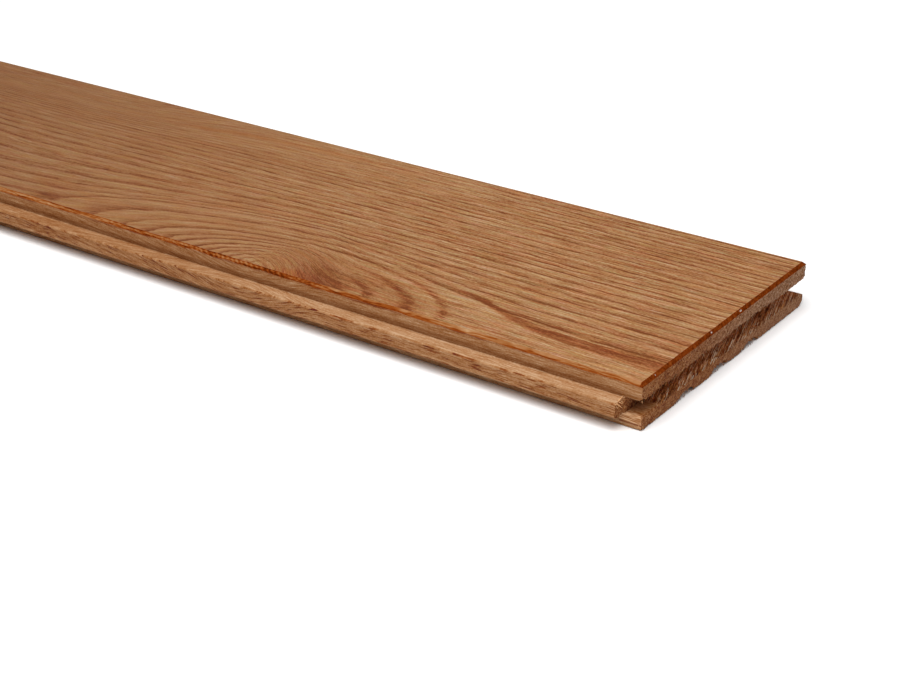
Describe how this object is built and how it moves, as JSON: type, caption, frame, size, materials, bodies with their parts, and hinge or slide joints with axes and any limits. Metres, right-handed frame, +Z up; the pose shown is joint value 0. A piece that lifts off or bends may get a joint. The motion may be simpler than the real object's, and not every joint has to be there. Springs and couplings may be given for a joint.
{
  "type": "wide plank floorboard",
  "caption": "Solid hardwood floorboard, tongue and groove on its long edges and ends, with a bevelled face and relief channels underneath.",
  "frame": {"origin": "middle of the underside, halfway between the outermost points along X and along Y, tongues included", "axes": "+X along the board to the grooved end, +Y across it to the grooved edge, +Z up to the walked-on face"},
  "size_m": [1.2252, 0.133, 0.0191],
  "materials": {
    "hardwood": "satin"
  },
  "bodies": {
    "root": {"floorboard": "hardwood"}
  },
  "joints": []
}
